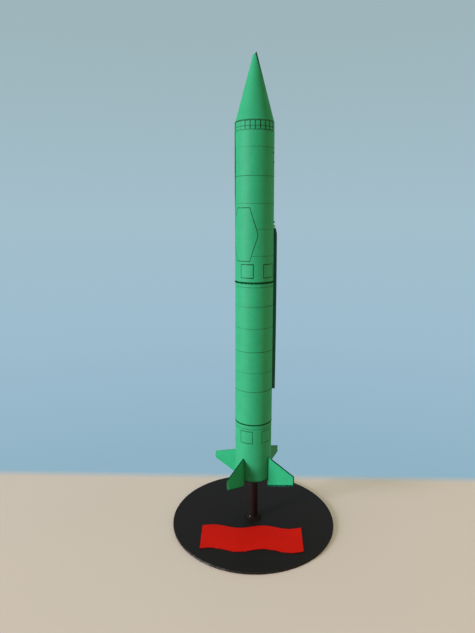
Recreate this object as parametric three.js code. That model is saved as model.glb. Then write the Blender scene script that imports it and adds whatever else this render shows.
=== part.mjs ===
// A hand-made card model of a slender space rocket, standing on a round black display disc.
// Millimetres, +Z up. The origin is the middle of the disc's underside, and the front,
// where the blank title card lies, is towards -Y.

import * as THREE from 'three';

// Driving dimensions

const DISC_RADIUS = 60;
const DISC_THICKNESS = 1.6;
const DISC_EDGE_CHAMFER = 0.25;

const POST_RADIUS = 3.45;
const BEAD_RADIUS = 7.4;
const BEAD_HEIGHT = 2.6;

const TAIL_END = 37.4;
const LOWER_JOINT = 81.2;
const UPPER_JOINT = 181.5;
const COLLAR_BASE = 277.6;
const CONE_BASE = 283.4;
const CONE_TIP = 325.6;

// Each section is rolled by hand, and narrows a little towards the nose
const TAIL_RADIUS = 13.05;
const MIDDLE_RADIUS_LOW = 13.15;
const MIDDLE_RADIUS_HIGH = 13;
const UPPER_RADIUS_LOW = 12.95;
const UPPER_RADIUS_HIGH = 12.75;
const COLLAR_RADIUS = 12.65;
const CONE_TIP_RADIUS = 1.2;
const CARD_WALL = 0.8;
const JOINT_GROOVE_DEPTH = 0.25;
const LOWER_JOINT_WIDTH = 0.9;
const UPPER_JOINT_WIDTH = 1.2;

const TAIL_RECESS = 2.4;
const TAIL_PLATE_THICKNESS = 0.8;

const FIN_THICKNESS = 0.9;

const DUCT_AZIMUTH = 92;
const DUCT_WIDTH = 4;
const DUCT_OUTER_RADIUS = 15.35;
const DUCT_LIP_RADIUS = 14.5;
const DUCT_BOTTOM = 104.7;
const DUCT_SLOPE_START = 213.2;
const DUCT_TOP = 216.8;

const CARD_LEFT = -36.8;
const CARD_RIGHT = 35;
const CARD_TOP_EDGE = -13;
const CARD_BOTTOM_EDGE = -38.9;
const CARD_SLOPE = -0.009;
const CARD_THICKNESS = 0.4;
const CARD_WAVE = 1.65;
const CARD_WAVE_LENGTH = 36;
const CARD_WAVE_START = -1.3;
const CARD_WAVE_STEPS = 36;

// Clearance between glued pieces whose faces are curved or turned
const GLUE_GAP = 0.3;
const ROUND_STEPS = 96;
const SMALL_ROUND_STEPS = 48;

// Finishes

const finish = (colour, roughness) => new THREE.MeshStandardMaterial({ color: colour, roughness, metalness: 0 });

const FINISHES = {
  green: () => finish(0x2ea96b, 0.55),
  darkGreen: () => finish(0x12291f, 0.6),
  black: () => finish(0x1b1d1d, 0.6),
  brown: () => finish(0x2a1d1b, 0.45),
  red: () => finish(0xc8190f, 0.6),
  glue: () => finish(0x141515, 0.25),
};

const model = new THREE.Group();

function addPiece(name, geometry, colour) {
  const mesh = new THREE.Mesh(geometry, FINISHES[colour]());
  mesh.name = name;
  model.add(mesh);
  return mesh;
}

// Unit vector out of the axis at an azimuth counted from the front (-Y) towards +X
const radialTurn = (azimuth) => THREE.MathUtils.degToRad(azimuth - 90);

// A profile of [radius, height] rows, turned about the Z axis
function turned(rows, steps = ROUND_STEPS) {
  const points = rows.map(([radius, height]) => new THREE.Vector2(radius, height));
  return new THREE.LatheGeometry(points, steps).rotateX(Math.PI / 2);
}

// A ring whose closed profile starts and ends at its inner lower corner
const turnedRing = (rows, steps) => turned([...rows, rows[0]], steps);

// Display disc, post and the bead of glue at the post's foot

const discTopEdge = DISC_RADIUS - DISC_EDGE_CHAMFER;
addPiece('base_disc', turned([
  [0, 0],
  [discTopEdge, 0],
  [DISC_RADIUS, DISC_EDGE_CHAMFER],
  [DISC_RADIUS, DISC_THICKNESS - DISC_EDGE_CHAMFER],
  [discTopEdge, DISC_THICKNESS],
  [0, DISC_THICKNESS],
], 2 * ROUND_STEPS), 'black');

const recessCeiling = TAIL_END + TAIL_RECESS;
addPiece('post', turned([
  [0, DISC_THICKNESS],
  [POST_RADIUS, DISC_THICKNESS],
  [POST_RADIUS, recessCeiling],
  [0, recessCeiling],
], SMALL_ROUND_STEPS), 'brown');

const beadBore = POST_RADIUS + GLUE_GAP;
addPiece('glue_bead', turnedRing([
  [beadBore, DISC_THICKNESS],
  [BEAD_RADIUS, DISC_THICKNESS],
  [BEAD_RADIUS - 0.4, DISC_THICKNESS + 0.25 * BEAD_HEIGHT],
  [0.6 * BEAD_RADIUS + 0.4 * beadBore, DISC_THICKNESS + 0.5 * BEAD_HEIGHT],
  [beadBore, DISC_THICKNESS + BEAD_HEIGHT],
], SMALL_ROUND_STEPS), 'glue');

// Title card: a blank strip cut like a waving flag, lying on the disc

function waveAt(x) {
  const wave = CARD_WAVE * Math.sin((2 * Math.PI * (x - CARD_WAVE_START)) / CARD_WAVE_LENGTH);
  return wave + CARD_SLOPE * x;
}

function titleCardOutline() {
  const outline = new THREE.Shape();
  const xAt = (step) => THREE.MathUtils.lerp(CARD_LEFT, CARD_RIGHT, step / CARD_WAVE_STEPS);
  outline.moveTo(CARD_LEFT, CARD_BOTTOM_EDGE + waveAt(CARD_LEFT));
  for (let step = 1; step <= CARD_WAVE_STEPS; step += 1) {
    outline.lineTo(xAt(step), CARD_BOTTOM_EDGE + waveAt(xAt(step)));
  }
  for (let step = CARD_WAVE_STEPS; step >= 0; step -= 1) {
    outline.lineTo(xAt(step), CARD_TOP_EDGE + waveAt(xAt(step)));
  }
  return outline;
}

const titleCard = new THREE.ExtrudeGeometry(titleCardOutline(), { depth: CARD_THICKNESS, bevelEnabled: false });
addPiece('title_card', titleCard, 'red').position.z = DISC_THICKNESS;

// Body: rolled card sections, stacked, with a dark recessed ring where two sections meet

const lowerRing = [LOWER_JOINT - LOWER_JOINT_WIDTH / 2, LOWER_JOINT + LOWER_JOINT_WIDTH / 2];
const upperRing = [UPPER_JOINT - UPPER_JOINT_WIDTH / 2, UPPER_JOINT + UPPER_JOINT_WIDTH / 2];
const lowerRingRadius = TAIL_RADIUS - JOINT_GROOVE_DEPTH;
const upperRingRadius = UPPER_RADIUS_LOW - JOINT_GROOVE_DEPTH;

const BODY_SECTIONS = [
  // name, bottom, top, radius at the bottom, radius at the top, colour
  ['joint_ring_lower', lowerRing[0], lowerRing[1], lowerRingRadius, lowerRingRadius, 'black'],
  ['section_middle', lowerRing[1], upperRing[0], MIDDLE_RADIUS_LOW, MIDDLE_RADIUS_HIGH, 'green'],
  ['joint_ring_upper', upperRing[0], upperRing[1], upperRingRadius, upperRingRadius, 'black'],
  ['section_upper', upperRing[1], COLLAR_BASE, UPPER_RADIUS_LOW, UPPER_RADIUS_HIGH, 'green'],
  ['collar_band', COLLAR_BASE, CONE_BASE, COLLAR_RADIUS, COLLAR_RADIUS, 'green'],
  ['nose_cone', CONE_BASE, CONE_TIP, COLLAR_RADIUS, CONE_TIP_RADIUS, 'green'],
];

for (const [name, bottom, top, bottomRadius, topRadius, colour] of BODY_SECTIONS) {
  addPiece(name, turned([[0, bottom], [bottomRadius, bottom], [topRadius, top], [0, top]]), colour);
}

const tailBore = TAIL_RADIUS - CARD_WALL;
addPiece('section_tail', turned([
  [0, recessCeiling],
  [tailBore, recessCeiling],
  [tailBore, TAIL_END],
  [TAIL_RADIUS, TAIL_END],
  [TAIL_RADIUS, lowerRing[0]],
  [0, lowerRing[0]],
]), 'green');

addPiece('tail_plate', turnedRing([
  [beadBore, recessCeiling - TAIL_PLATE_THICKNESS],
  [tailBore - GLUE_GAP, recessCeiling - TAIL_PLATE_THICKNESS],
  [tailBore - GLUE_GAP, recessCeiling],
  [beadBore, recessCeiling],
]), 'green');

// Fins: four folded card plates, each cut and placed a little differently by hand

const FINS = [
  // name, azimuth, sideways shift, root low, root high, tip low, tip high, tip radius
  ['fin_front_right', 58, -0.6, 32.1, 54, 38.9, 44.9, 34],
  ['fin_front_left', -32, 0, 33.6, 55.1, 40.3, 47.5, 32.6],
  ['fin_back_left', -122, 0, 32.4, 53.7, 40.7, 45.9, 34.2],
  ['fin_back_right', 146.5, 0, 32.4, 54.3, 41, 46, 34.2],
];

const finRoot = TAIL_RADIUS + GLUE_GAP;

function finGeometry(rootLow, rootHigh, tipLow, tipHigh, tipRadius) {
  const outline = new THREE.Shape();
  outline.moveTo(finRoot, rootLow);
  outline.lineTo(tipRadius, tipLow);
  outline.lineTo(tipRadius, tipHigh);
  outline.lineTo(finRoot, rootHigh);
  const plate = new THREE.ExtrudeGeometry(outline, { depth: FIN_THICKNESS, bevelEnabled: false });
  return plate.translate(0, 0, -FIN_THICKNESS / 2).rotateX(Math.PI / 2);
}

for (const [name, azimuth, sidewaysShift, ...corners] of FINS) {
  const plate = finGeometry(...corners).translate(0, sidewaysShift, 0);
  addPiece(name, plate, 'green').rotation.z = radialTurn(azimuth);
}

// Cable duct: a dark strip of card up the right side, its top end cut to a slope

const ductInner = MIDDLE_RADIUS_LOW + GLUE_GAP;
const ductSide = new THREE.Shape();
ductSide.moveTo(ductInner, DUCT_BOTTOM);
ductSide.lineTo(DUCT_OUTER_RADIUS, DUCT_BOTTOM);
ductSide.lineTo(DUCT_OUTER_RADIUS, DUCT_SLOPE_START);
ductSide.lineTo(DUCT_LIP_RADIUS, DUCT_TOP);
ductSide.lineTo(ductInner, DUCT_TOP);
const duct = new THREE.ExtrudeGeometry(ductSide, { depth: DUCT_WIDTH, bevelEnabled: false });
duct.translate(0, 0, -DUCT_WIDTH / 2).rotateX(Math.PI / 2);
addPiece('cable_duct', duct, 'darkGreen').rotation.z = radialTurn(DUCT_AZIMUTH);

export default model;
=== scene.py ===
"""A hand-made card rocket model on its round black stand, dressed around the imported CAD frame.

Shapes are worked out in millimetres and put into their meshes in metres. Azimuths are counted from
the front (-Y) towards the right (+X), in degrees in the tables and in radians in the functions.
"""

import math

import bpy
import numpy as np
from mathutils import Matrix, Vector


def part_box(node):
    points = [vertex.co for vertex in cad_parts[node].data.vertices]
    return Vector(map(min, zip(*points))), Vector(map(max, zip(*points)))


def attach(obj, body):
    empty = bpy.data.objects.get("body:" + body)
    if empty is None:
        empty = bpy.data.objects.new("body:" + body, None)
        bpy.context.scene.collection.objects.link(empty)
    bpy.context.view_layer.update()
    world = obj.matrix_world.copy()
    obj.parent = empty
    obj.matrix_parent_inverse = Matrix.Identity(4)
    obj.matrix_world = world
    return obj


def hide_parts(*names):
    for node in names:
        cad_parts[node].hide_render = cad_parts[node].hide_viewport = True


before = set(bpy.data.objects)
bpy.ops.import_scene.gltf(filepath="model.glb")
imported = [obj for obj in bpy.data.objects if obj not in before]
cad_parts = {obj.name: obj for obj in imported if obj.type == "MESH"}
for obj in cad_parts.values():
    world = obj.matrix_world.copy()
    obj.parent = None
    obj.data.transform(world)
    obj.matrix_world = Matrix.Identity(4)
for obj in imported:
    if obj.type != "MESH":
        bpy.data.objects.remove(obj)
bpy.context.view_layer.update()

MM = 0.001

# Camera of the photograph, worked out from the disc's ellipse and the body's printed rings
PHOTO_HEIGHT = 633
FOCAL_PIXELS = 491.0
SENSOR_MM = 36.0
CAMERA_PLACE = (0.0, -0.3340, 0.2264)
CAMERA_PITCH, CAMERA_YAW, CAMERA_ROLL = 11.81, 1.95, -0.14

# Soft lights: name, azimuth, elevation and distance from the aim, width and height, watts, colour
LIGHT_AIM = (0.0, 0.0, 0.16)
SOFT_LIGHTS = [
    ("window_light", -57, 7.5, 3.2, (0.90, 1.25), 233.0, (0.64, 0.66, 0.88)),
    ("room_light", 78, -3, 0.8, (0.6, 0.6), 2.05, (1.0, 0.86, 0.50)),
    ("ceiling_light", 0, 90, 1.5, (1.2, 1.2), 5.0, (1.0, 0.92, 0.80)),
]

# Pale air by how far a direction points up or down, and the dimmer light that comes from the front
PALE_AIR = [
    (-0.46, (0.277, 0.453, 0.560)),
    (-0.25, (0.337, 0.505, 0.620)),
    (0.00, (0.368, 0.517, 0.602)),
    (0.30, (0.340, 0.465, 0.500)),
]
FRONT_LIGHT = (0.206, 0.211, 0.151)
FRONT_LIGHT_FADE = 0.45

# The floor ends behind the stand over a few millimetres, and softly at a wide radius elsewhere
FLOOR_END, FLOOR_FADE_LENGTH = 55.0, 11.0
FLOOR_RADIUS, FLOOR_RADIUS_FADE = 340.0, 120.0
FLOOR_HALF_SIDE = 4000.0

# Body: the card's thickness and its lap, and the radius that turns azimuths of the print into arcs
CARD = 0.24
CARD_LAP, LAP_FALL = 4.0, 7.0
FLAP_LIFT, FLAP_LENGTH = 0.25, 3.0
BODY_BOW = 0.2
# How far the lap's cut edge is darkened over the outer ply and beside it: ink, with painted shade of the
# lap's step
SEAM_DARK_OVER = 0.9
SEAM_DARK_BESIDE = 0.8
PRINT_RADIUS = 12.8
TAIL_WALL = 0.8
PLATE_BORE, PLATE_CREST, PLATE_EDGE = 3.60, 7.50, 11.95
CONE_TIP_RADIUS = 1.4
CONE_LEAN = 0.1
CONE_POINT, CONE_POINT_TURN = 1.3, 0.55
CONE_SEAM_LOW, CONE_SEAM_TURN = 72.0, -38.0
CONE_SEAM_DARK = (0.85, 0.60)

# Rings at a piece's cut edge: how far they lie from its end, and how far in from its radius
CUT_LIFT = np.array([0.0, 0.0, 0.03, 0.10, 0.18])
CUT_TRIM = np.array([8.0, 0.10, 0.03, 0.0, 0.0])

# Azimuths of the lap's cut edge: at the back, and on the upper section and collar up the left side
TAIL_SEAM, MIDDLE_SEAM, UPPER_SEAM = 150.0, 165.0, -74.0

# The upper cut edge gets dark, with ink and painted shade of the lifted lap, above the first height, half
# as dark above the second, with a strength, and it lifts off from a height of its own
UPPER_SEAM_DARK = (212.0, 264.0, 1.0)
UPPER_SEAM_LOOSE_FROM = 222.0

# How much each section's radius falls from its bottom to its top
MIDDLE_NARROWS = 0.15
UPPER_NARROWS = 0.20

# Dark strips in the joints: node, how ragged the upper and the lower edge are, and a seed
JOINT_STRIPS = [
    ("joint_ring_lower", 0.10, 0.20, 60),
    ("joint_ring_upper", 0.20, 1.20, 70),
]

# Printed rings around the body, with painted shade in the first and last row: height, line width, how dark
# at the left and at the right limb, and whether the long hatch covers the ring
PRINT_AND_SHADE_RINGS = [
    # Top row: print, widened by painted shade of the crease where the cone meets the collar
    (283.4, 0.98, 0.90, 0.65, False),
    (280.0, 0.60, 0.50, 0.72, False),
    (277.8, 0.56, 0.45, 0.95, False),
    (267.7, 0.42, 0.12, 0.62, False),
    (250.1, 0.36, 0.80, 0.65, False),
    (232.9, 0.36, 0.35, 0.65, False),
    (216.5, 0.36, 0.50, 0.45, True),
    (199.2, 0.38, 0.50, 0.55, True),
    (178.6, 0.36, 0.55, 0.80, False),
    (165.4, 0.42, 0.15, 0.90, False),
    (150.4, 0.38, 0.40, 0.70, False),
    (134.1, 0.44, 0.50, 1.00, False),
    (119.2, 0.36, 0.30, 0.75, False),
    (105.7, 0.48, 0.50, 0.90, False),
    (78.1, 0.42, 0.50, 0.55, False),
    # Last row: no print, but painted shade along the tail's lower edge, where its underside lies in shade
    (37.7, 0.80, 1.00, 1.00, False),
]
RING_WANDER = 0.25

# Grid of upright bars between the top three rings, which fades out near the left limb
BAR_COUNT = 24
BAR_START = 1.8
BAR_WIDTH = 0.64
BAR_LOW, BAR_HIGH = 277.8, 283.4
BAR_FADE_FROM, BAR_FADE = 0.11, 0.15
BAR_DARK, BAR_DARKER_RIGHT = 0.82, 0.30

# Square hatch outlines on the front, again on the back: azimuth, middle height, and how dark the left
# and the right side are
SQUARE_HATCHES = [
    (-22.0, 189.3, 0.80, 1.08),
    (49.0, 189.3, 1.00, 0.90),
    (-22.5, 71.8, 0.75, 0.78),
    (47.0, 71.8, 0.55, 0.70),
]
SQUARE_HALF_SIDE = 4.45
SQUARE_LINE = 0.56
SQUARE_TOP_DARKER = 0.10

# Long six-sided hatch outline on the left
LONG_HATCH_LINE = 0.46
LONG_HATCH_AZIMUTH = -37.0
LONG_HATCH_MIDDLE = 213.0
LONG_HATCH_HALF_HEIGHT = 17.2
LONG_HATCH_END_HALF_WIDTH = 5.3
LONG_HATCH_HALF_WIDTH = 10.5
LONG_HATCH_FLAT = 1.2

# Small hatch that starts at the right limb, near the top
SIDE_HATCH_AZIMUTH = 88.0
SIDE_HATCH_MIDDLE = 261.7
SIDE_HATCH_HALF_WIDTH = 5.3
SIDE_HATCH_HALF_HEIGHT = 3.0
SIDE_HATCH_LINE = 0.85

# Cable duct: how far its ends lie in from the CAD face, its bulge, and the slope of its torn top end
DUCT_AZIMUTH = 92.0
DUCT_HALF_WIDTH = 2.05
DUCT_END_IN, DUCT_BULGE = 0.30, 0.20
DUCT_SLOPE, DUCT_FALL, DUCT_PINCH = 3.6, 0.75, 0.15

# Small trim: where the duct's torn pieces and the pale drop of glue, which is also a painted glint, lie,
# and their half sizes
TAB_RADIUS, TAB_HEIGHT, TAB_SIZES = 13.1, 221.0, (0.65, 1.0, 0.65)
TORN_RADIUS, TORN_AZIMUTH, TORN_HEIGHT, TORN_SIZES = 13.7, 88.0, 217.9, (0.7, 1.3, 1.3)
FLECK_PLACE, FLECK_SIZES = (-2.2, -3.2, 3.9), (0.42, 0.3, 0.3)
LUMP_UNEVEN = 0.25

# Stand: the disc and its rounded rim, the dowel, and the bead of glue
DISC_RADIUS, DISC_EASE, DISC_WAVER, DISC_INSET = 60.0, 0.32, 0.06, 0.08
DOWEL_RADIUS, DOWEL_UNEVEN = 3.43, 0.03
BEAD_BORE, BEAD_REACH, BEAD_SPREAD, BEAD_SKIN = 3.4, 6.9, 0.55, 0.14

# Where the disc's rim is lighter: rubbed paint, and a painted highlight on the side that faces the window
# light
RIM_WEAR_AND_LIGHT_AZIMUTH = -32.0
RIM_WEAR_AND_LIGHT_HALF_WIDTH = 18.0
RIM_WEAR_AND_LIGHT_FROM = 59.4


# Camera, floor and light

def placed(name, data):
    """A new object of the scene, made of some data."""
    made = bpy.data.objects.new(name, data)
    bpy.context.scene.collection.objects.link(made)
    return made


def make_camera():
    """The photograph's camera: a pinhole turned by yaw, then pitch, then roll."""
    yaw, pitch, roll = (math.radians(angle) for angle in (CAMERA_YAW, CAMERA_PITCH, CAMERA_ROLL))
    level = Matrix(((1, 0, 0), (0, 0, -1), (0, 1, 0)))
    tilted = Matrix.Rotation(roll, 3, "Z") @ Matrix.Rotation(pitch, 3, "X") @ level
    right, down, forward = tilted @ Matrix.Rotation(-yaw, 3, "Z")
    data = bpy.data.cameras.new("photo_camera")
    data.sensor_width = SENSOR_MM
    data.lens = FOCAL_PIXELS * SENSOR_MM / PHOTO_HEIGHT
    data.clip_start, data.clip_end = 0.01, 20
    camera = placed("photo_camera", data)
    turned = Matrix((right, -down, -forward)).transposed().to_4x4()
    camera.matrix_world = Matrix.Translation(CAMERA_PLACE) @ turned
    bpy.context.scene.camera = camera


def direction(azimuth, elevation=0.0):
    """Unit vector towards an azimuth and elevation given in degrees."""
    azimuth, elevation = math.radians(azimuth), math.radians(elevation)
    flat = math.cos(elevation)
    return np.array([math.sin(azimuth) * flat, -math.cos(azimuth) * flat, math.sin(elevation)])


def add_softbox(name, azimuth, elevation, distance, size, watts, colour):
    """A rectangular soft light aimed at the middle of the rocket."""
    data = bpy.data.lights.new(name, "AREA")
    data.shape = "RECTANGLE"
    data.size, data.size_y = size
    data.energy = watts
    data.color = colour
    light = placed(name, data)
    towards = direction(azimuth, elevation)
    light.location = np.array(LIGHT_AIM) + distance * towards
    light.rotation_euler = Vector(towards).to_track_quat("Z", "Y").to_euler()


def make_studio():
    """A wide cool window low at the front left, a warm room light at the right, a ceiling and pale air."""
    for light in SOFT_LIGHTS:
        add_softbox(*light)
    make_air()
    bpy.context.scene.view_settings.view_transform = "Standard"


def make_air():
    """Air that looks pale all round, and gives less light from the photograph's side."""
    world = bpy.data.worlds.new("pale_air")
    air = Finish("pale_air", world)
    _, depth, height = air.parts(air.node("TexCoord", output="Generated"))
    lowest, highest = PALE_AIR[0][0], PALE_AIR[-1][0]
    stops = [((level - lowest) / (highest - lowest), colour) for level, colour in PALE_AIR]
    pale = air.node("ValToRGB", {"stops": stops}, {"Fac": (height - lowest) / (highest - lowest)})
    light_on_piece = air.mix((depth + FRONT_LIGHT_FADE).clamped(), FRONT_LIGHT, pale)
    colour = air.mix(air.node("LightPath", output="Is Camera Ray"), light_on_piece, pale)
    light = air.node("Background", None, {"Color": colour, "Strength": 1.0})
    air.close(light, "World")
    bpy.context.scene.world = world


# Shader maths

class Value:
    """A shader socket that Python's own operators work on: each one adds a Math node."""

    def __init__(self, finish, socket):
        self.finish = finish
        self.socket = socket

    def math(self, operation, *others, clamp=False):
        values = dict(enumerate((self, *others)))
        return self.finish.node("Math", {"operation": operation, "use_clamp": clamp}, values)

    def __add__(self, other):
        return self.math("ADD", other)

    __radd__ = __add__

    def __sub__(self, other):
        return self.math("SUBTRACT", other)

    def __rsub__(self, other):
        return self.finish.node("Math", {"operation": "SUBTRACT"}, {0: other, 1: self})

    def __mul__(self, other):
        return self.math("MULTIPLY", other)

    __rmul__ = __mul__

    def __truediv__(self, other):
        return self.math("DIVIDE", other)

    def __neg__(self):
        return self * -1.0

    def __abs__(self):
        return self.math("ABSOLUTE")

    def above(self, other):
        return self.math("GREATER_THAN", other)

    def larger(self, other):
        return self.math("MAXIMUM", other)

    def clamped(self):
        return self.math("ADD", 0.0, clamp=True)


class Finish:
    """One material, with the node maths that describes its surface."""

    def __init__(self, name, owner=None):
        self.owner = owner or bpy.data.materials.new(name)
        self.owner.use_nodes = True
        self.tree = self.owner.node_tree
        self.tree.nodes.clear()

    def node(self, kind, settings=None, values=None, output=0):
        """Adds a node of a type, applies its settings, then fills or links its sockets."""
        made = self.tree.nodes.new("ShaderNode" + kind)
        for key, setting in (settings or {}).items():
            if key == "stops":
                self.set_stops(made.color_ramp, setting)
            else:
                setattr(made, key, setting)
        for place, value in (values or {}).items():
            if isinstance(value, Value):
                self.tree.links.new(value.socket, made.inputs[place])
            else:
                made.inputs[place].default_value = value
        return Value(self, made.outputs[output]) if made.outputs else None

    @staticmethod
    def set_stops(ramp, stops):
        """Fills a colour ramp from rows of place and colour."""
        while len(ramp.elements) < len(stops):
            ramp.elements.new(0.5)
        for element, (place, colour) in zip(ramp.elements, stops):
            element.position = place
            element.color = opaque(colour)

    def place(self):
        """The point on the piece, in the object's own metres."""
        return self.node("TexCoord", output="Object")

    def parts(self, vector):
        """The x, y and z of a vector as three values."""
        split = self.node("SeparateXYZ", None, {0: vector}).socket.node
        return tuple(Value(self, split.outputs[axis]) for axis in "XYZ")

    def axes(self):
        """The point's x, y and z as three values, in millimetres."""
        return tuple(part * (1 / MM) for part in self.parts(self.place()))

    def stretched(self, sizes):
        """The point with each axis multiplied by a number, for streaks and grain."""
        return self.node("VectorMath", {"operation": "MULTIPLY"}, {0: self.place(), 1: sizes})

    def noise(self, scale, detail=2.0, roughness=0.5, at=None, distortion=0.0):
        """Smooth noise from 0 to 1, with a scale in features per metre."""
        values = {"Vector": at or self.place(), "Scale": scale, "Detail": detail,
                  "Roughness": roughness, "Distortion": distortion}
        return self.node("TexNoise", None, values)

    def patches(self, scale, start, fade, detail=2.0, roughness=0.5, at=None):
        """Patches of noise: 0 where it is below a start, rising to 1 over a fade."""
        return ((self.noise(scale, detail, roughness, at) - start) / fade).clamped()

    def attribute(self, name):
        """A number stored at each of the piece's own points."""
        return self.node("Attribute", {"attribute_name": name}, output="Fac")

    def mix(self, share, first, second):
        """Colour mixing: first where share is 0, second where it is 1."""
        values = {0: share, 6: opaque(first), 7: opaque(second)}
        return self.node("Mix", {"data_type": "RGBA", "clamp_factor": True}, values, output=2)

    def bump(self, height, distance, strength):
        """A normal bent by a height from 0 to 1 that stands for a distance in metres."""
        return self.node("Bump", None, {"Height": height, "Distance": distance, "Strength": strength})

    def done(self, colour, roughness, normal=None, specular=0.5, **fixed):
        """Ends the material in one Principled shader, with fixed values for its other sockets."""
        values = {"Base Color": opaque(colour), "Roughness": roughness, "Specular IOR Level": specular}
        if normal is not None:
            values["Normal"] = normal
        values.update({name.replace("_", " "): value for name, value in fixed.items()})
        return self.close(self.node("BsdfPrincipled", None, values))

    def close(self, shader, kind="Material"):
        """Joins a shader to the output, and gives back the finished material or world."""
        self.node("Output" + kind, None, {"Surface": shader})
        return self.owner


def opaque(colour):
    """A three-number colour with full opacity added; a socket or four numbers stay as they are."""
    if isinstance(colour, Value) or len(colour) == 4:
        return colour
    return (*colour, 1.0)


def drawn_line(distance, width, softness=0.07):
    """1 within half the width of distance 0, fading to 0 over the softness, all in millimetres."""
    return ((width / 2 + softness - abs(distance)) / softness).clamped()


# Finishes

GREEN = (0.016, 0.278, 0.096)
INK = (0.0005, 0.032, 0.008)
FIN_INK, FIN_TIP_WEAR_AND_HIGHLIGHT = (0.0003, 0.036, 0.020), (0.10, 0.50, 0.24)
STRIP_INK, STRIP_WORN = (0.0006, 0.042, 0.011), (0.004, 0.100, 0.030)
DUCT_DARK, DUCT_LIGHT, DUCT_SCUFF = (0.011, 0.063, 0.048), (0.020, 0.105, 0.080), (0.038, 0.150, 0.115)
TORN_SHADE, TORN_WHITE = (0.70, 0.82, 0.90), (0.90, 0.96, 1.00)
PAINT_DARK, PAINT_LIGHT = (0.0056, 0.0016, 0.0001), (0.0080, 0.0030, 0.0006)
PAINT_DUST, RIM_WEAR_AND_HIGHLIGHT = (0.10, 0.10, 0.09), (0.108, 0.112, 0.070)
WOOD_DARK, WOOD_LIGHT, WOOD_PORE = (0.006, 0.0030, 0.0024), (0.018, 0.0086, 0.0066), (0.003, 0.001, 0.001)
GLUE_DARK, GLUE_LIGHT = (0.006, 0.003, 0.002), (0.014, 0.007, 0.005)
FLECK_DARK, FLECK_LIGHT = (0.22, 0.22, 0.19), (0.34, 0.33, 0.29)
RED_DARK, RED_LIGHT, RED_EDGE_DARK = (0.67, 0.0072, 0.0013), (0.77, 0.0096, 0.0018), (0.060, 0.001, 0.001)
FLOOR_DARK, FLOOR_LIGHT = (0.80, 0.645, 0.495), (0.84, 0.680, 0.525)

# How much less colour a piece of the same card has: the fin whose face kept its gloss, the tail plate
GLOSSY_FIN_LOSS, PLATE_LOSS = 0.18, 0.2

CARD_GLAZE = {"specular": 0.15, "Coat_Weight": 0.12, "Coat_Roughness": 0.56,
              "Sheen_Weight": 0.06, "Sheen_Roughness": 0.5}
FIN_SPECULAR, FIN_SPECULAR_GLOSSY = 0.09, 0.45


def faded(colour, loss):
    """A colour with a share of its light taken away."""
    return tuple((1 - loss) * part for part in colour)


def card_colour(finish, base):
    """Dyed card: faint pulp clouds a few millimetres wide, and short fibres."""
    clouds = finish.noise(160, 3, 0.55)
    fibres = finish.noise(1300, 4, 0.70, at=finish.stretched((1.0, 1.0, 0.45)), distortion=0.6)
    lighter = tuple(1.08 * part + 0.003 for part in base)
    mottle = (clouds * 0.35 + fibres * 0.65 - 0.34) / 0.32
    return finish.mix(mottle.clamped(), faded(base, 0.09), lighter), clouds, fibres


def card_normal(finish, clouds, fibres):
    """Card's skin: fine tooth a few hundredths of a millimetre high, over faint soft waves."""
    return finish.bump(fibres + clouds * 0.15, 0.00004, 0.5)


def body_ink_and_shade(finish):
    """Printed lines of the body, with painted shade bands among the rings, as one darkness: the largest of
    rings, hatch outlines and grid bars.
    """
    x, y, z = finish.axes()
    azimuth = x.math("ARCTAN2", -y)
    arc = azimuth * PRINT_RADIUS
    half_turn = azimuth.math("WRAP", math.pi / 2, -math.pi / 2) * PRINT_RADIUS
    level = z + (finish.noise(60, 1) - 0.5) * RING_WANDER
    right_share = (x / (2.0 * PRINT_RADIUS) + 0.5).clamped()

    long_arc = abs(half_turn - math.radians(LONG_HATCH_AZIMUTH) * PRINT_RADIUS)
    long_hatch = long_hatch_distance(long_arc, abs(z - LONG_HATCH_MIDDLE))
    ink = drawn_line(long_hatch, LONG_HATCH_LINE)
    for height, width, left_dark, right_dark, covered in PRINT_AND_SHADE_RINGS:
        ring = drawn_line(level - height, width) * (right_share * (right_dark - left_dark) + left_dark)
        if covered:
            ring = ring * long_hatch.above(0.0)
        ink = ink.larger(ring)

    for hatch_azimuth, height, left_dark, right_dark in SQUARE_HATCHES:
        offset = half_turn - math.radians(hatch_azimuth) * PRINT_RADIUS
        share = (offset / (2.0 * SQUARE_HALF_SIDE) + 0.5).clamped()
        edges = abs(offset).larger(abs(z - height)) - SQUARE_HALF_SIDE
        on_top = (z - height).above(SQUARE_HALF_SIDE - SQUARE_LINE)
        dark = (share * (right_dark - left_dark) + left_dark) * (1.0 + SQUARE_TOP_DARKER * on_top)
        ink = ink.larger(drawn_line(edges, SQUARE_LINE) * dark)

    across = SIDE_HATCH_HALF_WIDTH - abs(arc - math.radians(SIDE_HATCH_AZIMUTH) * PRINT_RADIUS)
    along = abs(z - SIDE_HATCH_MIDDLE) - SIDE_HATCH_HALF_HEIGHT
    ink = ink.larger(drawn_line(along, SIDE_HATCH_LINE) * across.above(0.0))

    step = 2 * math.pi / BAR_COUNT
    from_bar = (azimuth - math.radians(BAR_START)).math("WRAP", step / 2, -step / 2) * PRINT_RADIUS
    band = z.above(BAR_LOW) * (BAR_HIGH - z).above(0.0)
    dark = BAR_DARK + BAR_DARKER_RIGHT * right_share
    well = ((right_share - BAR_FADE_FROM) / BAR_FADE).clamped() * dark
    return ink.larger(drawn_line(from_bar, BAR_WIDTH) * band * well)


def long_hatch_distance(across, along):
    """Signed distance to the long hatch's outline: the largest of its end, side and slanted edges."""
    rise = LONG_HATCH_HALF_HEIGHT - LONG_HATCH_FLAT
    run = LONG_HATCH_HALF_WIDTH - LONG_HATCH_END_HALF_WIDTH
    length = math.hypot(rise, run)
    sides = across - LONG_HATCH_HALF_WIDTH
    slant = sides * (rise / length) + (along - LONG_HATCH_FLAT) * (run / length)
    return slant.larger(along - LONG_HATCH_HALF_HEIGHT).larger(sides)


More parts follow.
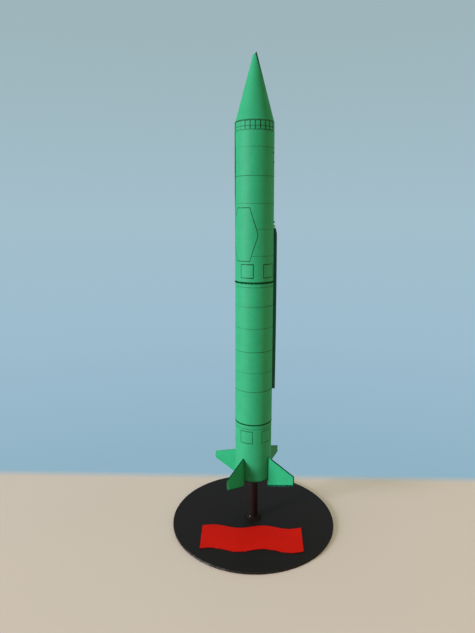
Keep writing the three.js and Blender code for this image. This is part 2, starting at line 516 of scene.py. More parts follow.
def printed_card():
    """Green card with the body's thin dark printing, a little uneven where the ink took less, and painted
    shade in two ring bands and beside the lap's cut edge.
    """
    finish = Finish("green_printed_card")
    colour, clouds, fibres = card_colour(finish, GREEN)
    uneven = finish.patches(420, 0.30, 0.25) * 0.35 + 0.65
    # cut_edge holds the lap's cut edge darkened by ink and by painted shade of the lap's step
    ink = (body_ink_and_shade(finish) * uneven).larger(finish.attribute("cut_edge")).clamped()
    roughness = 0.55 + 0.14 * fibres + 0.3 * ink
    normal = card_normal(finish, clouds, fibres)
    return finish.done(finish.mix(ink, colour, INK), roughness, normal, **CARD_GLAZE)


def fin_card(node, leading, tip, under, tip_glint, rubbed_root, gloss):
    """Green card of one fin, with what is left of the printed outline along its edges, a painted shade line
    at its root and a worn line with painted highlight inside its tip.

    The numbers are the fin's row of FIN_PRINT. The piece stores its distances from the edges, in mm.
    """
    finish = Finish(node + "_printed_card")
    colour, clouds, fibres = card_colour(finish, faded(GREEN, GLOSSY_FIN_LOSS * gloss))
    edges = ("from_leading", "from_tip", "from_under", "from_root")
    from_leading, from_tip, from_under, from_root = map(finish.attribute, edges)
    ink = edge_ink(from_leading, leading) * (from_root + 1.0 - rubbed_root).clamped()
    ink = ink.larger(edge_ink(from_tip, tip)).larger(edge_ink(from_under, under))
    uneven = finish.patches(500, 0.34, 0.2) * 0.2 + 0.8
    # Painted shade: a half-dark line along the root, where the fin meets the tube
    ink = (ink * uneven).larger(edge_ink(from_root, 0.35) * 0.5)
    # Worn line with painted highlight: lighter inside the tip and brighter towards the bottom, where the
    # tip's edge catches the light
    wear_and_highlight = drawn_line(from_tip - tip - 0.55, 0.5, 0.5) * tip_glint * (1.25 - from_under / 7.0).clamped()
    colour = finish.mix(ink, finish.mix(wear_and_highlight, colour, FIN_TIP_WEAR_AND_HIGHLIGHT), FIN_INK)
    roughness = 0.55 + 0.14 * fibres + 0.4 * ink
    specular = FIN_SPECULAR + (FIN_SPECULAR_GLOSSY - FIN_SPECULAR) * gloss
    return finish.done(colour, roughness, card_normal(finish, clouds, fibres), specular)


def edge_ink(distance, width):
    """1 from an edge to the width, then a soft end, all in millimetres."""
    return ((width - distance) / 0.12 + 0.5).clamped()


def plain_card():
    """Unprinted green card, for the plate that closes the tail."""
    finish = Finish("green_plain_card")
    colour, clouds, fibres = card_colour(finish, faded(GREEN, PLATE_LOSS))
    return finish.done(colour, 0.56 + 0.14 * fibres, card_normal(finish, clouds, fibres))


def inked_strip():
    """The dark paper strip in a body joint: black ink over green pulp, worn thin in places."""
    finish = Finish("black_joint_paper")
    wear_and_highlight = finish.patches(700, 0.60, 0.12, 3) * 0.35
    normal = finish.bump(finish.noise(1500, 3), 0.00004, 0.5)
    return finish.done(finish.mix(wear_and_highlight, STRIP_INK, STRIP_WORN), 0.85 - 0.1 * wear_and_highlight, normal, specular=0.06)


def duct_card():
    """Nearly black green card of the cable duct, scuffed lighter in patches."""
    finish = Finish("dark_duct_card")
    fibres = finish.noise(800, 4, 0.6, at=finish.stretched((1.0, 1.0, 0.25)))
    scuffs = finish.patches(260, 0.58, 0.1, 4, 0.7) * 0.5
    colour = finish.mix(scuffs, finish.mix(fibres, DUCT_DARK, DUCT_LIGHT), DUCT_SCUFF)
    return finish.done(colour, 0.62 + 0.12 * fibres, finish.bump(fibres, 0.00005, 0.6), specular=0.12)


def torn_paper():
    """White torn paper core with loose fibres."""
    finish = Finish("white_torn_paper")
    fibres = finish.noise(1800, 4, 0.7)
    colour = finish.mix(fibres, TORN_SHADE, TORN_WHITE)
    return finish.done(colour, 0.85 - 0.1 * fibres, finish.bump(fibres, 0.0001, 0.8))


def black_board():
    """The stand's matt black paint: fine orange peel, faint dust, and a lighter rim on the front left,
    rubbed paint with a painted highlight.
    """
    finish = Finish("black_stand_paint")
    x, y, _ = finish.axes()
    peel = finish.noise(1100, 3, 0.55)
    clouds = finish.noise(38, 4, 0.6)
    dust = finish.patches(1400, 0.735, 0.03, 1) * 0.35
    radius = (x * x + y * y).math("SQRT")
    # Rubbed paint and painted highlight: the rim is lightened in patches within an azimuth window towards
    # the light
    from_worn_and_lit = abs(x.math("ARCTAN2", -y) - math.radians(RIM_WEAR_AND_LIGHT_AZIMUTH))
    worn_and_lit = ((math.radians(RIM_WEAR_AND_LIGHT_HALF_WIDTH) - from_worn_and_lit) / 0.12).clamped()
    rim = ((radius - RIM_WEAR_AND_LIGHT_FROM) / 0.4).clamped() * finish.patches(300, 0.44, 0.16, 4, 0.7)
    rim = rim * (0.10 + 0.90 * worn_and_lit)
    colour = finish.mix(dust, finish.mix(clouds, PAINT_DARK, PAINT_LIGHT), PAINT_DUST)
    colour = finish.mix(rim * 0.6, colour, RIM_WEAR_AND_HIGHLIGHT)
    roughness = 0.55 + 0.10 * clouds + 0.08 * peel
    return finish.done(colour, roughness, finish.bump(peel, 0.00005, 0.45), specular=0.26)


def stained_dowel():
    """Dark brown stained wood: long grain along the post and a satin coat that pooled in it."""
    finish = Finish("dark_stained_dowel")
    grain = finish.noise(650, 4, 0.62, at=finish.stretched((1.0, 1.0, 0.05)))
    pores = finish.patches(1600, 0.60, 0.08, 2, 0.5, at=finish.stretched((1.0, 1.0, 0.08)))
    colour = finish.mix(pores * 0.6, finish.mix(grain, WOOD_DARK, WOOD_LIGHT), WOOD_PORE)
    normal = finish.bump(grain - 0.5 * pores, 0.00008, 0.5)
    return finish.done(colour, 0.42 + 0.14 * grain, normal, specular=0.09)


def dried_glue():
    """Dark dried glue: satin, with soft dimples."""
    finish = Finish("dark_dried_glue")
    dimples = finish.noise(420, 3, 0.5)
    colour = finish.mix(dimples, GLUE_DARK, GLUE_LIGHT)
    normal = finish.bump(dimples, 0.00012, 0.5)
    return finish.done(colour, 0.50 + 0.25 * dimples, normal, specular=0.09)


def glue_and_glint_finish():
    """A small pale drop of dried white glue, whose paleness also serves as a painted glint at the post's
    foot.
    """
    finish = Finish("pale_glue_and_glint")
    cloud = finish.noise(1600, 3, 0.5)
    return finish.done(finish.mix(cloud, FLECK_DARK, FLECK_LIGHT), 0.45 + 0.2 * cloud)


def red_card():
    """Blank red printed paper: solid ink over fine tooth, darker in patches along the cut edges."""
    finish = Finish("red_title_paper")
    clouds = finish.noise(90, 3, 0.55)
    tooth = finish.noise(1300, 4, 0.65)
    edge_dark = ((0.30 - finish.attribute("edge")) / 0.14).clamped() * finish.patches(500, 0.36, 0.15, 3)
    mottle = (clouds * 0.6 + tooth * 0.4 - 0.3) / 0.4
    colour = finish.mix(edge_dark * 0.8, finish.mix(mottle, RED_DARK, RED_LIGHT), RED_EDGE_DARK)
    normal = finish.bump(tooth * 0.7 + clouds * 0.3, 0.00004, 0.5)
    return finish.done(colour, 0.62 + 0.16 * tooth, normal, specular=0.08)


def pale_floor():
    """A plain pale table top that ends softly behind the stand and all round, where the air begins."""
    finish = Finish("pale_floor")
    x, y, _ = finish.axes()
    colour = finish.mix(finish.noise(6, 2), FLOOR_DARK, FLOOR_LIGHT)
    table = finish.node("BsdfPrincipled", None, {"Base Color": colour, "Roughness": 0.7})
    clear = finish.node("BsdfTransparent")
    radius = (x * x + y * y).math("SQRT")
    past_end = (y - FLOOR_END) / FLOOR_FADE_LENGTH
    away = past_end.larger((radius - FLOOR_RADIUS) / FLOOR_RADIUS_FADE).clamped()
    return finish.close(finish.node("MixShader", None, {0: away, 1: table, 2: clear}))


# Meshes

def grid_quads(rows, columns, close_rows=False, close_columns=False, start=0):
    """Corner numbers of the quads between the points of a rows by columns grid."""
    row = np.arange(rows if close_rows else rows - 1)[:, None]
    column = np.arange(columns if close_columns else columns - 1)[None, :]
    next_row, next_column = (row + 1) % rows, (column + 1) % columns
    corners = [row * columns + column, row * columns + next_column,
               next_row * columns + next_column, next_row * columns + column]
    return start + np.stack(np.broadcast_arrays(*corners), -1).reshape(-1, 4)


def plate_faces(rows, columns):
    """Faces of a thin plate: a grid of points, the same grid turned round behind it, and their rim."""
    count = rows * columns
    index = np.arange(count).reshape(rows, columns)
    border = np.concatenate([index[0, :-1], index[:-1, -1], index[-1, :0:-1], index[:0:-1, 0]])
    after = np.roll(border, -1)
    rim = np.stack([border + count, after + count, after, border], 1)
    return [grid_quads(rows, columns), grid_quads(rows, columns, start=count)[:, ::-1], rim]


def make_piece(name, points, faces, finish, replaced=(), sharp=32.0, numbers=None):
    """One object from points in millimetres and lists of faces, riding on the model's one body."""
    mesh = bpy.data.meshes.new(name)
    rows = [face for part in faces for face in np.asarray(part).tolist()]
    mesh.from_pydata((np.asarray(points, float) * MM).tolist(), [], rows)
    mesh.validate()
    mesh.materials.append(finish)
    mesh.shade_smooth()
    mesh.set_sharp_from_angle(angle=math.radians(sharp))
    for key, values in (numbers or {}).items():
        mesh.attributes.new(key, "FLOAT", "POINT").data.foreach_set("value", np.asarray(values, np.float32))
    piece = placed(name, mesh)
    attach(piece, "root")
    if replaced:
        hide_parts(*replaced)
    return piece


def polar(radius, azimuth, height):
    """Points from a radius, an azimuth in radians and a height, all arrays of one shape."""
    parts = [radius * np.sin(azimuth), -radius * np.cos(azimuth), height]
    return np.stack(np.broadcast_arrays(*parts), -1)


def all_round(count):
    """One row of evenly spaced azimuths from the back round to the back, in radians."""
    return np.linspace(-np.pi, np.pi, count, endpoint=False)[None, :]


def closed_turning(rings, low_pole, high_pole):
    """Points and faces of a closed form from rings of points (row, column, xyz) and its two poles."""
    count, columns = rings.shape[:2]
    points = np.vstack([rings.reshape(-1, 3), low_pole, high_pole])
    column = np.arange(columns)
    after = (column + 1) % columns
    low, high, last = count * columns, count * columns + 1, (count - 1) * columns
    low_fan = np.stack([np.full(columns, low), after, column], 1)
    high_fan = np.stack([np.full(columns, high), last + column, last + after], 1)
    return points, [grid_quads(count, columns, close_columns=True), low_fan, high_fan]


def closed_hoop(rings):
    """Points and faces of a hoop from the rings of points that go round its section."""
    return rings.reshape(-1, 3), [grid_quads(*rings.shape[:2], close_rows=True, close_columns=True)]


def waves(azimuth, height, seed, orders, pitch=90.0):
    """Hand-made unevenness from about -1 to 1: a sum of sines around the tube that drift with height.

    Each order n adds sin(n * azimuth + height / pitch * n' + phase) / sqrt(n), phases from the seed.
    """
    chance = np.random.default_rng(seed)
    total = np.zeros(np.broadcast(azimuth, height).shape)
    for order in orders:
        phase, drift = chance.uniform(0, 2 * np.pi), chance.uniform(-2, 2)
        total += np.sin(order * azimuth + drift * height / pitch + phase) / math.sqrt(order)
    return total / math.sqrt(len(orders))


def seam_columns(seam, facing):
    """Azimuths all round that start at the lap's cut edge, crowd there, and end just before it.

    The cut edge faces clockwise for facing 1, and the other way for facing -1.
    """
    turn = 2 * np.pi
    near, even = [0.0, 0.008, 0.018, 0.030, 0.045], np.linspace(0.065, turn - 0.045, 216)
    around = np.concatenate([near, even, [turn - 0.02, turn - 0.012]])
    return math.radians(seam) + (around if facing > 0 else -around[::-1])


def from_cut_edge(azimuth, seam, facing, radius):
    """Arc from the cut edge, measured over the outer ply, in millimetres."""
    return facing * (azimuth - math.radians(seam)) * radius


def lap_height(arc, loose=0.5):
    """How far the outer ply stands out: the card's thickness over the lap, then a soft fall.

    Where it is loose (1) its cut edge lifts off as well, and where it is pressed down (0) it is thin.
    """
    fall = (1 - np.clip((arc - CARD_LAP) / LAP_FALL, 0, 1)) ** 2
    flap = (1 - np.clip(arc / FLAP_LENGTH, 0, 1)) ** 2
    lifted = FLAP_LIFT * np.clip(2 * loose - 1, 0, 1)
    return CARD * (0.4 + 1.2 * np.minimum(loose, 0.5)) * fall + lifted * flap


def looseness(height, loose_from):
    """0 where the lap is pressed down, rising to 1 over 16 mm from a height."""
    return np.clip((height - loose_from) / 16.0, 0, 1)


def radius_of(node):
    """Half the width of a round CAD node, in millimetres."""
    low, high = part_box(node)
    return (high.x - low.x) / 2 / MM


def heights_of(node):
    """The lowest and highest millimetre of a CAD node."""
    low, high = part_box(node)
    return low.z / MM, high.z / MM


def hand_rolling(azimuth, height):
    """Shallow flats and ovalness from rolling card by hand, in millimetres."""
    flats = 0.03 * waves(azimuth, height, 5, (7, 9, 13), 260)
    return flats + 0.05 * waves(azimuth, height, 3, (2, 3), 160)


def seam_ink_and_shade(azimuth, height, seam, facing, radius, dark_from, dark_to, strength):
    """Ink and glue, with painted shade of the lap's step, that darken the cut edge more and more from one
    height up, and less above another.
    """
    arc = from_cut_edge(azimuth, seam, facing, radius)
    turn = 2 * np.pi * radius
    over, beside = SEAM_DARK_OVER - arc, SEAM_DARK_BESIDE - (turn - arc)
    near = np.clip(over / 0.4, 0, 1) + np.clip(beside / 0.15, 0, 1)
    ends = np.clip((height - dark_from) / 60.0, 0, 1) * (1 - 0.5 * np.clip((height - dark_to) / 6.0, 0, 1))
    blotch = 0.85 + 0.25 * np.sin(height / 3.1 + 1.0) * np.sin(height / 7.7)
    return np.clip(near, 0, 1) * ends * blotch * strength


def bowed(points):
    """The body's slight bow to the right between its lower joint and the cone: bow * sin(pi * share)."""
    low, high = heights_of("section_middle")[0], heights_of("nose_cone")[0]
    share = np.clip((points[..., 2] - low) / (high - low), 0, 1)
    points[..., 0] += BODY_BOW * np.sin(np.pi * share)
    return points


def rolled_piece(node, finish, seam, facing, height, trim, poles, narrows=0.0, ink=(0, 0, 0), loose=None):
    """A rolled card tube: radius(azimuth, height) = node's radius + hand rolling + lap - trim.

    The rings run along the height list, with the trim list taking them in at cut edges and faces, and
    the node's radius falls evenly by what the tube narrows.
    """
    azimuth = seam_columns(seam, facing)[None, :]
    height, trim = np.asarray(height)[:, None], np.asarray(trim)[:, None]
    low, high = heights_of(node)
    base = radius_of(node) - narrows * (height - low) / (high - low)
    arc = from_cut_edge(azimuth, seam, facing, base)
    lap = lap_height(arc) if loose is None else lap_height(arc, looseness(height, loose))
    rings = bowed(polar(base + hand_rolling(azimuth, height) + lap - trim, azimuth, height))
    points, faces = closed_turning(rings, [[0, 0, poles[0]]], [[0, 0, poles[1]]])
    dark = seam_ink_and_shade(azimuth, height, seam, facing, base, *ink).ravel()
    numbers = {"cut_edge": np.concatenate([dark, [0, 0]])}
    return make_piece(node + "_card", points, faces, finish, (node,), numbers=numbers)


def make_section(node, finish, seam, facing=1, narrows=0.0, ink=(0, 0, 0), loose=None):
    """A rolled section between two rounded cut edges, closed across."""
    low, high = heights_of(node)
    steps = np.linspace(low + 0.6, high - 0.6, max(4, int((high - low) / 1.6)))
    height = np.concatenate([low + CUT_LIFT, steps, (high - CUT_LIFT)[::-1]])
    trims = np.concatenate([CUT_TRIM, np.zeros(len(steps)), CUT_TRIM[::-1]])
    return rolled_piece(node, finish, seam, facing, height, trims, (low, high), narrows, ink, loose)


def make_tail(finish, seam):
    """The tail section: as the others, but its lower end is open up to a recess behind the wall."""
    low, high = heights_of("section_tail")
    ceiling = heights_of("tail_plate")[1]
    steps = np.linspace(low + 0.6, high - 0.6, int((high - low) / 1.6))
    inner = [ceiling, ceiling, low + 0.5, low + 0.08, low]
    inner_trim = [CUT_TRIM[0], TAIL_WALL, TAIL_WALL, TAIL_WALL, TAIL_WALL - 0.08]
    height = np.concatenate([inner, low + CUT_LIFT[1:], steps, (high - CUT_LIFT)[::-1]])
    trims = np.concatenate([inner_trim, CUT_TRIM[1:], np.zeros(len(steps)), CUT_TRIM[::-1]])
    return rolled_piece("section_tail", finish, seam, 1, height, trims, (ceiling, high))


def make_cone(finish):
    """A rolled card cone: the radius falls evenly with height, and its rim rises to a point at the lap.

    Height at share t of the way up is base + t * (rim(azimuth) - base). The cut edge turns towards
    the front on its way up, by turn * t ** 2.6, and the axis leans a little to the right at the tip.
    """
    base, top = heights_of("nose_cone")
    top -= 0.5
    wide = radius_of("nose_cone")
    share = np.concatenate([[0.0, 0.0, 0.001, 0.004], np.linspace(0.012, 1.0, 84)])[:, None]
    trim = np.zeros_like(share)
    trim[:4, 0] = CUT_TRIM[:4]
    round_about = seam_columns(0.0, -1)[None, :]
    azimuth = round_about + np.radians(CONE_SEAM_LOW + CONE_SEAM_TURN * share ** 2.6)
    rim = top - CONE_POINT * (1 - np.exp(-(round_about / CONE_POINT_TURN) ** 2))
    height = base + share * (rim - base)
    straight = wide + (CONE_TIP_RADIUS - wide) * share
    uneven = 0.05 * waves(azimuth, height, 11, (2, 3, 5), 30) * (1 - share ** 6)
    arc = -round_about * np.maximum(straight, 1.0)
    lap = CARD * (1 - np.clip(arc / (1.5 + 0.5 * straight), 0, 1)) ** 2 * (0.4 + 0.6 * share)
    rings = polar(straight + uneven + lap - trim, azimuth, height)
    rings[..., 0] += CONE_LEAN * share ** 2
    points, faces = closed_turning(rings, [[0, 0, base]], [[CONE_LEAN, 0, top - CONE_POINT - 0.2]])
    # The cone's cut edge is darkened by ink and by painted shade of the step beside it, more towards the
    # tip
    turn = 2 * np.pi * np.maximum(straight, 1.0)
    over, beside = CONE_SEAM_DARK
    near = np.clip((over - arc) / 0.2, 0, 1) + np.clip((arc - turn + beside) / 0.15, 0, 1)
    dark = np.clip(near, 0, 1) * np.clip(-0.15 + 1.3 * share, 0, 1)
    numbers = {"cut_edge": np.concatenate([dark.ravel(), [0, 0]])}
    return make_piece("nose_cone_card", points, faces, finish, ("nose_cone",),
                      numbers=numbers)


def make_joint_strip(node, finish, upper_rag, lower_rag, seed):
    """A dark strip laid in a body joint: a thin band whose two edges wander, smooth or ragged.

    Edge height = ring edge + rag * waves(azimuth) with high orders, so it looks cut by hand.
    """
    low, high = heights_of(node)
    azimuth = all_round(720)
    base = max(radius_of("section_middle"), radius_of(node))
    orders = (23, 31, 43, 57, 79)
    bottom = low + lower_rag * waves(azimuth, 0.0, seed, orders)
    top = high + upper_rag * waves(azimuth, 0.0, seed + 1, orders)
    outer = base + 0.06 + hand_rolling(azimuth, 0.5 * (low + high))
    inner = base - 0.6
    rows = [polar(inner, azimuth, bottom), polar(outer - 0.02, azimuth, bottom),
            polar(outer, azimuth, bottom + 0.06), polar(outer, azimuth, top - 0.06),
            polar(outer - 0.02, azimuth, top), polar(inner, azimuth, top)]
    points, faces = closed_hoop(bowed(np.concatenate(rows)))
    return make_piece(node + "_strip", points, faces, finish, (node,))


def make_tail_plate(finish):
    """The closing plate inside the tail: a flat ring with a slight dish and eased edges."""
    low, high = heights_of("tail_plate")
    profile = np.array([
        [PLATE_BORE, low + 0.06], [PLATE_BORE + 0.06, low], [PLATE_CREST, low + 0.10],
        [PLATE_EDGE - 0.10, low], [PLATE_EDGE, low + 0.08], [PLATE_EDGE, high], [PLATE_BORE, high]])
    points, faces = closed_hoop(polar(profile[:, :1], all_round(144), profile[:, 1:]))
    return make_piece("tail_plate_card", points, faces, finish, ("tail_plate",))


FIN_HALF_THICKNESS = 0.47

# Fins, each cut and glued on by hand: node, azimuth, sideways shift, then the heights of the root's
# lower and upper corner and of the tip's, the tip's distance from the axis, and the bow
FINS = [
    ("fin_front_right", 58.0, -0.6, 31.1, 55.0, 38.0, 45.4, 34.0, 0.25),
    ("fin_front_left", -32.0, 0.0, 33.2, 55.1, 39.9, 47.5, 33.0, -0.35),
    ("fin_back_left", -122.0, 0.0, 32.4, 53.7, 40.7, 45.9, 34.2, 0.3),
    ("fin_back_right", 146.5, 0.0, 32.4, 54.3, 41.0, 46.0, 34.2, -0.2),
]

# Ink left on each fin: its width at the leading edge, at the tip and underneath, a worn line with painted
# highlight inside the tip, how far out from the root the leading edge is rubbed bare, and the gloss its
# face has kept
FIN_PRINT = {
    # On this fin the wide dark bands at the tip and underneath are ink with painted shade of edges turned
    # from the light
    "fin_front_right": (0.45, 0.50, 1.42, 0.0, 3.0, 0.0),
    "fin_front_left": (0.14, 0.06, 0.45, 0.7, 0.0, 0.0),
    "fin_back_left": (-0.10, -0.10, -0.10, 0.0, 0.0, 0.0),
    "fin_back_right": (0.22, 0.40, 0.20, 0.0, 0.0, 1.0),
}


def crowded(count, power=1.8):
    """Shares that crowd towards 0 and 1: 0.5 + 0.5 * sign(t) * (1 - (1 - |t|) ** power), t from -1 to 1."""
    t = np.linspace(-1, 1, count)
    return 0.5 + 0.5 * np.sign(t) * (1 - (1 - np.abs(t)) ** power)


def make_fin(node, azimuth, shift, root_low, root_high, tip_low, tip_high, tip, bow, finish):
    """A folded card plate: a grid between its four corners, a rounded rim, and a slight bow.

    The half thickness h(d) grows with the distance d from the cut edge as a quarter ellipse, and the
    whole plate is bent by bow * s * s + 0.1 * sin(3 * s + 5 * c + a), s along the span, c across, and a
    the azimuth's number.
    """
    root = radius_of("section_tail") - 0.25
    along, across = np.meshgrid(crowded(40), crowded(32))
    reach = root + along * (tip - root)
    low = root_low + along * (tip_low - root_low)
    high = root_high + along * (tip_high - root_high)
    height = low + across * (high - low)
    from_leading = (high - height) * math.cos(math.atan2(root_high - tip_high, tip - root))
    from_under = (height - low) * math.cos(math.atan2(tip_low - root_low, tip - root))
    from_tip = tip - reach
    rounded = np.clip(np.minimum(np.minimum(from_leading, from_under), from_tip) / 0.22, 0, 1)
    half = FIN_HALF_THICKNESS * (0.45 + 0.55 * np.sqrt(1 - (1 - rounded) ** 2))
    bend = shift + bow * along ** 2 + 0.10 * np.sin(3 * along + 5 * across + azimuth)
    outward, sideways, up = direction(azimuth), direction(azimuth + 90), direction(0, 90)
    middle = reach[..., None] * outward + height[..., None] * up + bend[..., None] * sideways
    thick = half[..., None] * sideways
    points = np.concatenate([(middle - thick).reshape(-1, 3), (middle + thick).reshape(-1, 3)])
    distances = {"from_leading": from_leading, "from_under": from_under, "from_tip": from_tip,
                 "from_root": reach - radius_of("section_tail")}
    numbers = {name: np.tile(distance.ravel(), 2) for name, distance in distances.items()}
    faces = plate_faces(*along.shape)
    return make_piece(node + "_card", points, faces, finish, (node,), 40.0, numbers)


def make_duct(finish):
    """The cable duct: a folded strip whose section, flat outside with eased corners, runs up the side.

    The outside bulges by bulge * sin(pi * share) over its length, and falls away at the top end, which
    is torn off a little unevenly.
    """
    low, high = heights_of("cable_duct")
    outer_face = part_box("cable_duct")[1].x / MM
    start_of_slope = high - DUCT_SLOPE
    height = np.concatenate([[low, low + 0.05], np.linspace(low + 0.2, start_of_slope, 70),
                             np.linspace(start_of_slope, high, 12)[1:]])
    fall = np.clip((height - start_of_slope) / (high - start_of_slope), 0, 1)
    share = (height - low) / (high - low)
    outer = outer_face - DUCT_END_IN + DUCT_BULGE * np.sin(np.pi * share) - DUCT_FALL * fall ** 1.2
    outer[0] -= 0.05
    half = DUCT_HALF_WIDTH - DUCT_PINCH * fall + 0.05 * np.sin(height / 11.0 + 1.0)
    inner = np.full_like(outer, radius_of("section_middle") - 0.3)
    section = [(-1, 0.0), (-1, 0.86), (-0.93, 0.97), (-0.80, 1.0), (0, 1.01),
               (0.80, 1.0), (0.93, 0.97), (1, 0.86), (1, 0.0)]
    sides, rises = np.array(section).T
    across = sides * half[:, None]
    radial = inner[:, None] + rises * (outer - inner)[:, None]
    outward, sideways = direction(DUCT_AZIMUTH), direction(DUCT_AZIMUTH + 90)
    rings = radial[..., None] * outward + across[..., None] * sideways
    rings[..., 2] = height[:, None]
    rings[-1, :, 2] += 0.25 * np.sin(3.0 * across[-1] + 0.6)
    middle = (inner[0] + 0.8) * outward
    points, faces = closed_turning(rings, [middle + [0, 0, low]], [middle + [0, 0, high]])
    return make_piece("cable_duct_card", points, faces, finish, ("cable_duct",))


def make_lump(name, middle, sizes, seed, finish):
    """A small torn or dripped lump: an ellipsoid with radius 1 + uneven * waves(azimuth, latitude)."""
    latitude = np.linspace(-np.pi / 2, np.pi / 2, 26)[1:-1, None]
    azimuth = all_round(48)
    swell = 1 + LUMP_UNEVEN * waves(azimuth, latitude, seed, (2, 3, 5, 8), 0.4) * np.cos(latitude)
    rings = np.stack(np.broadcast_arrays(
        sizes[0] * swell * np.cos(latitude) * np.sin(azimuth),
        -sizes[1] * swell * np.cos(latitude) * np.cos(azimuth),
        sizes[2] * swell * np.sin(latitude)), -1) + middle
    tip = np.array([0, 0, sizes[2]])
    points, faces = closed_turning(rings, [middle - tip], [middle + tip])
    return make_piece(name, points, faces, finish)


def make_disc(finish):
    """The disc: its rim is rounded by quarter circles and wavers by waver * (radius / edge) ** 8."""
    low, high = heights_of("base_disc")
    edge, ease = DISC_RADIUS, DISC_EASE
    corner = np.radians(np.linspace(0, 90, 7))
    lower = np.stack([edge - ease + ease * np.sin(corner), low + ease - ease * np.cos(corner)], 1)
    upper = np.stack([edge - ease + ease * np.cos(corner), high - ease + ease * np.sin(corner)], 1)
    flat = (6.0, 20.0, 40.0, 57.0, 59.0)
    profile = np.vstack([[(radius, low) for radius in flat], lower, upper,
                         [(radius, high) for radius in flat[::-1]]])
    azimuth = all_round(480)
    share = (profile[:, :1] / edge) ** 8
    waver = DISC_WAVER * waves(azimuth, 0.0, 21, (2, 3, 5, 9, 17)) - DISC_INSET
    radius = profile[:, :1] + share * waver
    points, faces = closed_turning(polar(radius, azimuth, profile[:, 1:]), [[0, 0, low]], [[0, 0, high]])
    return make_piece("base_disc_board", points, faces, finish, ("base_disc",), 50.0)


def make_post(finish):
    """The post: a dowel with faint turning marks, radius = dowel + uneven * waves."""
    low, high = heights_of("post")
    azimuth = all_round(96)
    height = np.linspace(low, high, 60)[:, None]
    radius = DOWEL_RADIUS + DOWEL_UNEVEN * waves(azimuth, height, 31, (2, 3, 7), 9)
    points, faces = closed_turning(polar(radius, azimuth, height), [[0, 0, low]], [[0, 0, high]])
    return make_piece("post_dowel", points, faces, finish, ("post",))


def make_glue_bead(finish):
    """Glue drawn up round the post's foot: height falls as a hollow curve, and the outline wanders.

    At share s from the post outwards the radius is bore + s * (reach(azimuth) - bore), and the height
    is climb(azimuth) * (1 - s) ** 2.2 over a thin skin, flat against the disc underneath.
    """
    low, high = heights_of("glue_bead")
    azimuth = all_round(160)
    reach = BEAD_REACH + BEAD_SPREAD * waves(azimuth, 0.0, 41, (1, 2, 3, 5, 8))
    share = np.linspace(0, 1, 22)[:, None] ** 1.3
    climb = (high - low) * (0.75 + 0.25 * waves(azimuth, 0.0, 43, (1, 2, 3)))
    top = low + climb * (1 - share) ** 2.2 + BEAD_SKIN * np.sqrt(np.clip(1 - share ** 6, 0, 1))
    over = polar(BEAD_BORE + share * (reach - BEAD_BORE), azimuth, top)[::-1]
    foot = polar(np.full_like(azimuth, BEAD_BORE), azimuth, np.full_like(azimuth, low))
    points, faces = closed_hoop(np.concatenate([foot, over]))
    return make_piece("glue_bead_drip", points, faces, finish, ("glue_bead",), 60.0)


# Title card: its outline is a strip cut like a waving flag
CARD_LEFT, CARD_RIGHT = -36.8, 35.0
CARD_TOP_EDGE, CARD_BOTTOM_EDGE = -13.0, -38.9
CARD_SLOPE, CARD_WAVE, CARD_WAVE_LENGTH, CARD_WAVE_START = -0.009, 1.65, 36.0, -1.3
CARD_SHEAR = 0.3
PAPER_THICKNESS, PAPER_EASE = 0.30, 0.06
CORNER_LIFT, PAPER_RIPPLE = 0.30, 0.04


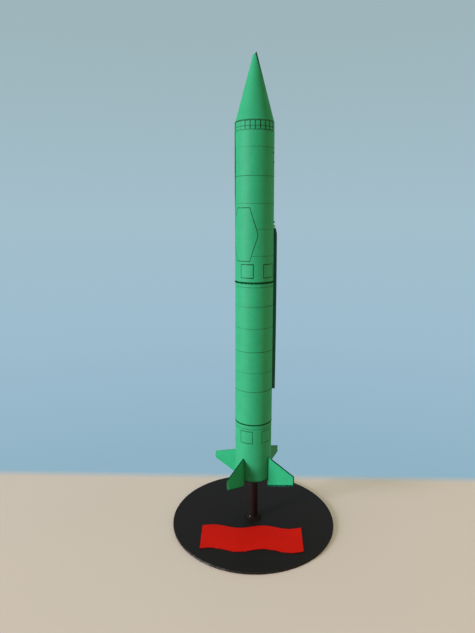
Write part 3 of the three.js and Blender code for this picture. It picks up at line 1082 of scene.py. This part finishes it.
def make_title_card(finish):
    """The blank title card: y = edge + wave * sin(2 pi (x - start) / length), with its corners lifted."""
    low, _ = heights_of("title_card")
    along, across = np.meshgrid(crowded(97, 1.3), crowded(41, 1.5))
    skew = CARD_SHEAR * (1 - 2 * across)
    x = CARD_LEFT + along * (CARD_RIGHT - CARD_LEFT) + skew * (1 - 2 * along)
    wave = CARD_WAVE * np.sin(2 * np.pi * (x - CARD_WAVE_START) / CARD_WAVE_LENGTH) + CARD_SLOPE * x
    y = CARD_BOTTOM_EDGE + across * (CARD_TOP_EDGE - CARD_BOTTOM_EDGE) + wave
    corner = (np.abs(2 * along - 1) ** 6) * (np.abs(2 * across - 1) ** 3)
    lift = low + CORNER_LIFT * corner + PAPER_RIPPLE * (1 + np.sin(9 * along + 2) * np.cos(5 * across))
    to_edge = np.minimum(np.minimum(across, 1 - across) * (CARD_TOP_EDGE - CARD_BOTTOM_EDGE),
                         np.minimum(along, 1 - along) * (CARD_RIGHT - CARD_LEFT))
    eased = PAPER_EASE * (1 - np.clip(to_edge / 0.15, 0, 1))
    under = np.stack([x, y, lift], -1)
    over = np.stack([x, y, lift + PAPER_THICKNESS - eased], -1)
    points = np.concatenate([over.reshape(-1, 3), under.reshape(-1, 3)])
    return make_piece("title_card_paper", points, plate_faces(*x.shape), finish,
                      ("title_card",), 45.0, {"edge": np.tile(to_edge.ravel(), 2)})


def make_floor():
    """The pale floor that the stand rests on."""
    mesh = bpy.data.meshes.new("floor")
    side = FLOOR_HALF_SIDE * MM
    corners = [(-side, -side, 0), (side, -side, 0), (side, side, 0), (-side, side, 0)]
    mesh.from_pydata(corners, [], [(0, 1, 2, 3)])
    mesh.materials.append(pale_floor())
    placed("floor", mesh)


def build():
    """Camera, light and floor, then the rocket from the tail up, and its stand."""
    make_camera()
    make_studio()
    make_floor()

    printed = printed_card()
    make_tail(printed, TAIL_SEAM)
    make_section("section_middle", printed, MIDDLE_SEAM, narrows=MIDDLE_NARROWS)
    for node, narrows in (("section_upper", UPPER_NARROWS), ("collar_band", 0.0)):
        make_section(node, printed, UPPER_SEAM, -1, narrows, UPPER_SEAM_DARK, UPPER_SEAM_LOOSE_FROM)
    make_cone(printed)
    strip = inked_strip()
    for node, upper_rag, lower_rag, seed in JOINT_STRIPS:
        make_joint_strip(node, strip, upper_rag, lower_rag, seed)
    make_tail_plate(plain_card())

    for node, *sizes in FINS:
        make_fin(node, *sizes, fin_card(node, *FIN_PRINT[node]))

    duct = duct_card()
    make_duct(duct)
    tab_place = direction(DUCT_AZIMUTH) * TAB_RADIUS + [0, 0, TAB_HEIGHT]
    make_lump("duct_tab", tab_place, TAB_SIZES, 80, duct)
    torn_place = direction(TORN_AZIMUTH) * TORN_RADIUS + [0, 0, TORN_HEIGHT]
    make_lump("duct_torn_end", torn_place, TORN_SIZES, 84, torn_paper())

    make_disc(black_board())
    make_post(stained_dowel())
    make_glue_bead(dried_glue())
    make_lump("glue_and_glint_drop", np.array(FLECK_PLACE), FLECK_SIZES, 90, glue_and_glint_finish())
    make_title_card(red_card())


build()
